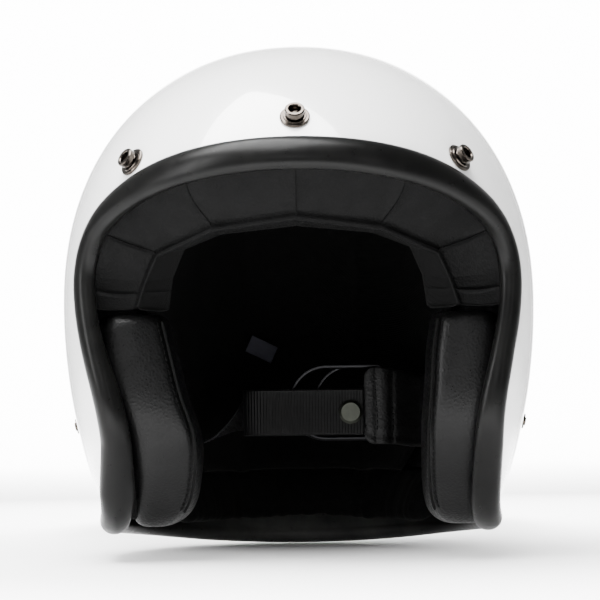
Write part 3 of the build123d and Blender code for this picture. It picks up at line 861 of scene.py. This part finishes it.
def cheek_heights():
    """Heights of the pad's sections, each with how far it draws in where the ends are rounded."""
    turns = np.linspace(0, math.pi / 2, 7)
    low = [(CHEEK_LOW_Z + CHEEK_ROUND_LOW * (1 - math.cos(a)), CHEEK_ROUND_LOW * (1 - math.sin(a)))
           for a in turns]
    top = [(CHEEK_TOP_Z - CHEEK_ROUND_TOP * (1 - math.cos(a)), CHEEK_ROUND_TOP * (1 - math.sin(a)))
           for a in reversed(turns)]
    return low + [(z, 0.0) for z in np.linspace(low[-1][0], top[0][0], 46)[1:-1]] + top


def cheek_pin(point):
    """Share by which the cloth is held: all at the ends, the wall and the back, a little elsewhere."""
    at_end = point[2] < CHEEK_LOW_Z + 7 or point[2] > CHEEK_TOP_Z - 5
    return 1.0 if at_end or abs(point[0]) > 100 or point[1] > CENTRE_Y - 14 else 0.25


def press_groove(pad, groove, middle_x):
    """Draws the skin in along the sewn seam, towards the middle of the pad."""
    for vertex in pad.data.vertices:
        p = np.array(vertex.co[:]) / MM
        near = np.min(np.linalg.norm(groove - p, axis=1))
        if near < GROOVE_REACH:
            pull = unit(np.array([middle_x, CENTRE_Y - 50, p[2]]) - p)
            vertex.co = (p + pull * GROOVE_DEPTH * (1 - near / GROOVE_REACH) ** 1.5) * MM


def make_cheek(side, leather, dark):
    """Crowned pad: leatherette front and sides, welted seam along the inner edge, rounded ends."""
    sign = -1 if side == "left" else 1
    inner, edge = (smooth_table(CHEEK_EDGES[side], column) for column in (1, 2))
    front = smooth_table(CHEEK_FRONT_LINE, 1)
    rows = []
    for z, inset in cheek_heights():
        bulge = CHEEK_FULLER[side] * math.sin(math.pi * min(max((z - CHEEK_LOW_Z) / 105, 0), 1)) ** 0.5
        section = cheek_section(z, inner(z), edge(z) + bulge, front(z))
        middle = section.mean(axis=0)
        reach = np.linalg.norm((section - middle)[:, :2], axis=1, keepdims=True)
        section = middle + (section - middle) * np.maximum(1 - inset / reach, 0.15)
        rows.append(section * (sign, 1, 1))
    pad = grid_piece("cheek_pad_cover_" + side, rows, wrap_columns=True, caps=True)
    inflate(pad, pressure=1.6, cap=2.0, pinned=cheek_pin)
    groove = np.array([(sign * (inner(z) + 1.0), CENTRE_Y + front(z) + 3.4, z)
                       for z in np.linspace(CHEEK_LOW_Z + 8, CHEEK_TOP_Z - 4, 120)])
    press_groove(pad, groove, sign * (np.mean([inner(z) for z, inset in cheek_heights()]) + 14))
    subdivide(pad, 1)
    coat(pad, leather)
    welt = tube("cheek_welt_" + side, groove + (sign * -0.6, -0.4, 0), radius=0.7)
    coat(welt, dark)
    seam = stitches("cheek_stitches_" + side, groove + (sign * 1.8, -1.6, 0),
                    length=2.4, gap=1.2, radius=0.2)
    coat(seam, dark)
    for piece in (pad, welt, seam):
        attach(piece, "cheek_" + side)
    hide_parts("cheek_pad_" + side)


# ---- crown liner
LINER_DEPTH = 37.6
LINER_AROUND, LINER_DOWN = 180, 70
# sewn lines: two along the head this far from its middle, and an oval this wide and this much longer
QUILT_X, QUILT_OVAL, QUILT_LONG = 34, 66, 1.35
QUILT_RISE, QUILT_WIDTH = 1.8, 5.0
HEAD_MIDDLE = np.array([0, CENTRE_Y, 140.0])


def liner_floor(y_rel):
    """Lowest height of the crown liner at a place along the shell axis."""
    return float(np.interp(y_rel, [-120, -99, -83, -70, -63.5, -60.5, 34, 60, 200],
                           [215, 202, 191.5, 180, 168.5, 131, 131, 41.5, 41.5]))


def liner_line(angle):
    """Points of the liner down from the crown at one angle round the shell axis."""
    line = []
    for turn in math.pi / 2 * (1 - np.linspace(0, 1, 500) * 1.55):
        if turn >= 0:
            radius = HALF_WIDTH * math.cos(turn) ** (2 / CROWN_POWER)
            z = WIDEST_Z + CROWN_RISE * math.sin(turn) ** (2 / CROWN_POWER)
        else:
            radius, z = HALF_WIDTH * math.cos(turn), WIDEST_Z + LOWER_REACH * math.sin(turn)
        n_r, n_z = profile_normal(radius, z)
        r, low = radius - LINER_DEPTH * n_r, z - LINER_DEPTH * n_z
        y_rel = length_ratio(LINER_DEPTH) * r * math.sin(angle)
        if low < liner_floor(y_rel):
            break
        line.append((max(r, 0) * math.cos(angle), CENTRE_Y + y_rel, low))
    return read_line(line, range(len(line)), np.linspace(0, len(line) - 1, LINER_DOWN))


def quilted(point):
    """The point moved towards the head's middle between the sewn lines, with soft folds."""
    x, y, z = point
    seam = min(abs(abs(x) - QUILT_X), abs(math.hypot(x, (y - CENTRE_Y) / QUILT_LONG) - QUILT_OVAL))
    quilt = QUILT_RISE * (1 - math.exp(-(seam / QUILT_WIDTH) ** 2))
    fold = 0.5 * noise.noise(Vector((x * 0.05, y * 0.05, z * 0.05)))
    return point + unit(HEAD_MIDDLE - point) * (quilt + fold - 1.0)


def make_crown_liner(knit):
    """Quilted comfort lining: one skin from the crown to the ears and down to the nape."""
    angles = np.linspace(0, 2 * math.pi, LINER_AROUND, endpoint=False)
    grid = np.array([liner_line(angle) for angle in angles])
    grid[:, 0] = grid[:, 0].mean(axis=0)
    for row in grid:
        row[1:] = [quilted(point) for point in row[1:]]
    liner = grid_piece("crown_liner_quilt", grid, wrap_rows=True)
    thicken(liner, thickness=4.5, offset=1 if mean_facing(liner, HEAD_MIDDLE) < 0 else -1)
    coat(liner, knit)
    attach(liner, "helmet")
    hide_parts("crown_liner")


def mean_facing(obj, centre):
    """Above 0 if the faces look away from the centre."""
    middle = Vector(centre) * MM
    return sum((face.center - middle).dot(face.normal) * face.area for face in obj.data.polygons)


# ---- neck roll
ROLL_Z, ROLL_HALF_HEIGHT = 29.0, 15.5
# depth of its middle under the shell's outer surface
ROLL_DEPTH, ROLL_HALF_DEPTH = 20.0, 9.4


def make_neck_roll(knit):
    """Padded roll round the nape, gathered into small folds where it bends."""
    rows = []
    angles = np.radians(np.linspace(27, 153, 130))
    for k, angle in enumerate(angles):
        end = min(k, len(angles) - 1 - k) / 5.0
        fullness = math.sin(min(1.0, end) * math.pi / 2) * 0.75 + 0.25
        gather = sum(noise.noise(Vector((angle * scale, shift, 0))) * share
                     for scale, shift, share in ((11.0, 0.3, 0.8), (31.0, 4.3, 0.5)))
        row = []
        for a in np.linspace(0, 2 * math.pi, 26, endpoint=False):
            across, up = math.cos(a), math.sin(a)
            bulge = ROLL_HALF_DEPTH * fullness * (1 + 0.075 * gather * (1 - across * 0.5))
            rise = ROLL_HALF_HEIGHT * blunt(up, 0.8) * (0.92 + 0.06 * gather) * fullness
            depth = ROLL_DEPTH - bulge * blunt(across, 0.85)
            reach = depth_width(ROLL_Z + rise, depth)
            y_rel = length_ratio(depth) * reach * math.sin(angle)
            row.append((reach * math.cos(angle), CENTRE_Y + y_rel, ROLL_Z + rise))
        rows.append(row)
    roll = grid_piece("neck_roll_cover", rows, wrap_columns=True, caps=True)
    inflate(roll, pressure=1.2, cap=2.0, shrink=0.03)
    subdivide(roll, 1)
    coat(roll, knit)
    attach(roll, "helmet")
    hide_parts("neck_roll")


# ---- chin strap
STRAP_Z = 75.0
STRAP_WIDTH = 24.8
STRAP_THICK = 1.3
RIB_PITCH = 1.6
RIB_HEIGHT = 0.16
PATH_STEP = 0.27
# x of the webbing on the shell wall, then y of the long half's back run, its folded run and its free end
WALL_X = 108.4
BACK_Y, FRONT_Y, TAIL_Y = 32.6, 19.0, 15.4
# bar of the rings, seen from above, and the radius of the loop round it
RING_BAR = (45.0, 25.8)
LOOP_R = 4.6
# half of the webbing's section: (share of half the width, share of the thickness)
WEBBING_HALF = [(-1, 0), (-0.985, 0.42), (-0.93, 0.5), (-0.86, 0.44), (-0.6, 0.47), (-0.3, 0.48),
                (0, 0.48), (0.3, 0.48), (0.6, 0.47), (0.86, 0.44), (0.93, 0.5), (0.985, 0.42), (1, 0.0)]
WEBBING_SECTION = WEBBING_HALF + [(u, -v) for u, v in reversed(WEBBING_HALF[1:-1])]


def make_webbing(name, points, material):
    """Band of ribbed webbing along a smooth line through points (x, y, z, tilt in degrees)."""
    curve = spline_through(points, 3000)
    reach = distances(curve[:, :2])
    places = np.arange(0, reach[-1], PATH_STEP)
    path = read_line(curve, reach, places)
    rows = []
    for point, ahead, place in zip(path, np.gradient(path[:, :3], axis=0), places):
        ahead = unit(ahead)
        flat = unit(np.cross(ahead, (0, 0, 1)))
        up = unit(np.cross(flat, ahead))
        tilt = math.radians(point[3])
        rise = up * math.cos(tilt) + flat * math.sin(tilt)
        face = flat * math.cos(tilt) - up * math.sin(tilt)
        rib = RIB_HEIGHT * math.cos(2 * math.pi * place / RIB_PITCH)
        row = []
        for u, v in WEBBING_SECTION:
            ribbed = rib * (1 - abs(u) ** 10) * np.sign(v)
            row.append(point[:3] + rise * (u * STRAP_WIDTH / 2) + face * (v * STRAP_THICK + ribbed))
        rows.append(row)
    band = grid_piece(name, rows, wrap_columns=True, caps=True)
    coat(band, material)
    return band


def upright(points):
    """Points (x, y) at the strap's height, with the webbing standing on edge."""
    return [(x, y, STRAP_Z, 0.0) for x, y in points]


def arc_points(centre, radius, start, end):
    """Nine points (x, y) of an arc, angles in degrees."""
    return [(centre[0] + radius * math.cos(a), centre[1] + radius * math.sin(a))
            for a in np.radians(np.linspace(start, end, 9))]


def make_straps(material):
    """Long half from the left wall to the rings and back, its free end, and the short half."""
    long_points = [(-WALL_X, -13, 73.5, 0), (-WALL_X, 0, 73, 0), (-105.8, 10.5, 71.8, 3),
                   (-99, 20.5, 69, 14), (-88, 28, 63.5, 50), (-76, 31.6, 59, 78),
                   (-62, 32, 57.5, 88), (-50, 32, 60.5, 90), (-40, 31.8, 66, 82),
                   (-30, 31.8, 71.5, 52), (-20, 32, 74.4, 18)]
    long_points += upright([(-8.0, BACK_Y), (12.0, BACK_Y), (28.0, BACK_Y)])
    long_points += upright(arc_points((31.0, (BACK_Y + FRONT_Y) / 2), 6.8, 75, -75))
    long_points += upright([(26.0, 19.05), (10.0, FRONT_Y), (-8.0, FRONT_Y), (-20.0, 19.2)])
    strap = make_webbing("long_strap_webbing", long_points, material)
    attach(strap, "chin_strap")
    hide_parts("long_strap")
    tail_points = upright([(-20, 19.2), (-24.5, 20.4), (-28.2, 20.9), (-30.2, 20.1), (-30, 18.5),
                           (-28.4, 16.9), (-26, 15.7), (-23, 14.8), (-20, 14.5), (-16, 14.7),
                           (0, TAIL_Y), (20, TAIL_Y), (33.8, TAIL_Y)])
    tail = make_webbing("strap_tail_webbing", tail_points, material)
    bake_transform(tail)
    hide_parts("strap_tail")
    short_points = upright([(WALL_X, -13), (WALL_X, 0), (107.6, 12), (98, 27), (82, 30.2),
                            (66, 30.4), (52, 30.4)])
    short_points += upright(arc_points(RING_BAR, LOOP_R, 90, 270))
    short_points += upright([(50.0, 22.8), (54.0, 27.2), (58.0, 28.7)])
    short = make_webbing("short_strap_webbing", short_points, material)
    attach(short, "chin_strap")
    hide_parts("short_strap")


# ---- sleeve of the short strap
# along x: its top edge, low edge, front face and thickness
COVER_TOP = [(34, 94), (36.5, 98), (46, 98.6), (58, 96.4), (72, 93.6), (88, 91.6), (102, 90.0)]
COVER_LOW = [(34, 62), (36.5, 58.6), (46, 57.4), (58, 56), (72, 55), (88, 54.6), (102, 55.0)]
COVER_FRONT = [(34, 18), (40, 17.8), (46, 18.2), (54, 20.8), (62, 24.2), (72, 26.2), (84, 26.2),
               (94, 24.6), (102, 19.4)]
COVER_THICK = [(34, 0.6), (38, 0.9), (46, 1.2), (56, 3.6), (64, 5.8), (84, 6.2), (102, 5.0)]
COVER_ENDS = (34.0, 102.0)
COVER_ROWS = (41.0, 49.5)


def make_cover(leather, dark):
    """Padded sleeve round the short strap, with a stitched flap over the bars of the rings."""
    top, low, front, thick = (smooth_table(table, 1)
                              for table in (COVER_TOP, COVER_LOW, COVER_FRONT, COVER_THICK))
    rows = []
    for x in np.linspace(*COVER_ENDS, 90):
        middle, half = (top(x) + low(x)) / 2, (top(x) - low(x)) / 2
        ease = min(1.0, (x - COVER_ENDS[0] + 0.6) / 3.0) ** 0.5
        row = []
        for a in np.linspace(0, 2 * math.pi, 40, endpoint=False):
            up, out = blunt(math.sin(a), 0.55), blunt(math.cos(a), 0.5)
            row.append((x, front(x) + thick(x) / 2 - out * (thick(x) / 2 + 0.5) * ease, middle + half * up))
        rows.append(row)
    cover = grid_piece("strap_cover_sleeve", rows, wrap_columns=True, caps=True)
    for vertex in cover.data.vertices:
        x, y, z = (c / MM for c in vertex.co)
        if y < front(x) + 1.5:
            dent = sum(math.exp(-((x - seam) / 1.6) ** 2) for seam in COVER_ROWS)
            edge = math.exp(-((z - low(x) - 4.6) / 1.3) ** 2)
            vertex.co.y += (0.5 * dent + 0.55 * edge) * MM
    subdivide(cover, 1)
    coat(cover, leather)
    pieces = []
    for index, seam in enumerate(COVER_ROWS):
        line = [(seam + 0.4 * math.sin(z * 0.2), front(seam) - 0.05, z) for z in np.linspace(64, 88, 60)]
        pieces.append(stitches("cover_row_%d" % index, line, length=2.2, gap=1.1, radius=0.3))
    threads = join_pieces("strap_cover_stitches", pieces)
    coat(threads, dark)
    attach(cover, "chin_strap")
    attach(threads, "chin_strap")
    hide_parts("strap_cover")


# ---- label
LABEL_HALF = (8.0, 5.0)


def make_label():
    """Blank woven tab, 16 by 10 mm, a little curled."""
    low, high = (np.array(corner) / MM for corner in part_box("blank_label"))
    middle = (low + high) / 2
    turn = Euler((math.radians(8), math.radians(26), math.radians(-6))).to_matrix()
    rows = []
    for v in np.linspace(-LABEL_HALF[1], LABEL_HALF[1], 15):
        row = []
        for u in np.linspace(-LABEL_HALF[0], LABEL_HALF[0], 27):
            curl = 0.7 * (u / LABEL_HALF[0]) ** 2 + 0.25 * math.sin(v * 0.7) - 0.4
            row.append(np.array(turn @ Vector((u, -curl, v))) + middle)
        rows.append(row)
    label = grid_piece("blank_label_tab", rows)
    thicken(label, thickness=0.5, offset=0)
    coat(label, label_material())
    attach(label, "helmet")
    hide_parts("blank_label")


# ---- what the CAD carries over
def dress_cad():
    """Materials on the CAD nodes that stay; the shell's inward faces get their own."""
    finishes = {
        "shell_paint": shell_material(),
        "foam": foam_material(),
        "backing_plastic": plastic_material(),
        "snap_gunmetal": metal_material("snap_gunmetal", (0.075, 0.064, 0.055), 0.18),
        "strap_steel": metal_material("strap_steel", (0.45, 0.45, 0.46), 0.32),
        # painted shade: the rings' steel and the snap cap's nickel are made nearly black, far darker than
        # the bare metals, for the dark inside of the helmet where they sit
        "ring_steel": metal_material("ring_steel", (0.016, 0.016, 0.017), 0.3),
        "cap_nickel": metal_material("cap_nickel", (0.035, 0.037, 0.031), 0.36),
    }
    for part in frame["record"]["subparts"]:
        if part["material_slot"] in finishes:
            node = frame["nodes"][part["node"]]
            node.data.materials.clear()
            coat(node, finishes[part["material_slot"]])
    shell = frame["nodes"]["outer_shell"]
    coat(shell, laminate_material())
    middle = Vector((0, CENTRE_Y, 120)) * MM
    for face in shell.data.polygons:
        if (face.center - middle).dot(face.normal) < 0:
            face.material_index = 1


make_camera()
make_sweep()
make_lights()
dress_cad()
make_trim()
make_brow_pad()
pad_leather = leather_material("pad_leatherette", grain=700, depth=0.0002, shine=0.33,
                               tone=0.0016, gloss=0.13)
thread = fabric_material("thread", tone=0.0025)
lining_knit = fabric_material("lining_knit", tone=0.0014)
webbing = webbing_material()
make_cheek("left", pad_leather, thread)
make_cheek("right", pad_leather, thread)
make_crown_liner(lining_knit)
make_neck_roll(lining_knit)
make_straps(webbing)
make_cover(pad_leather, thread)
make_label()
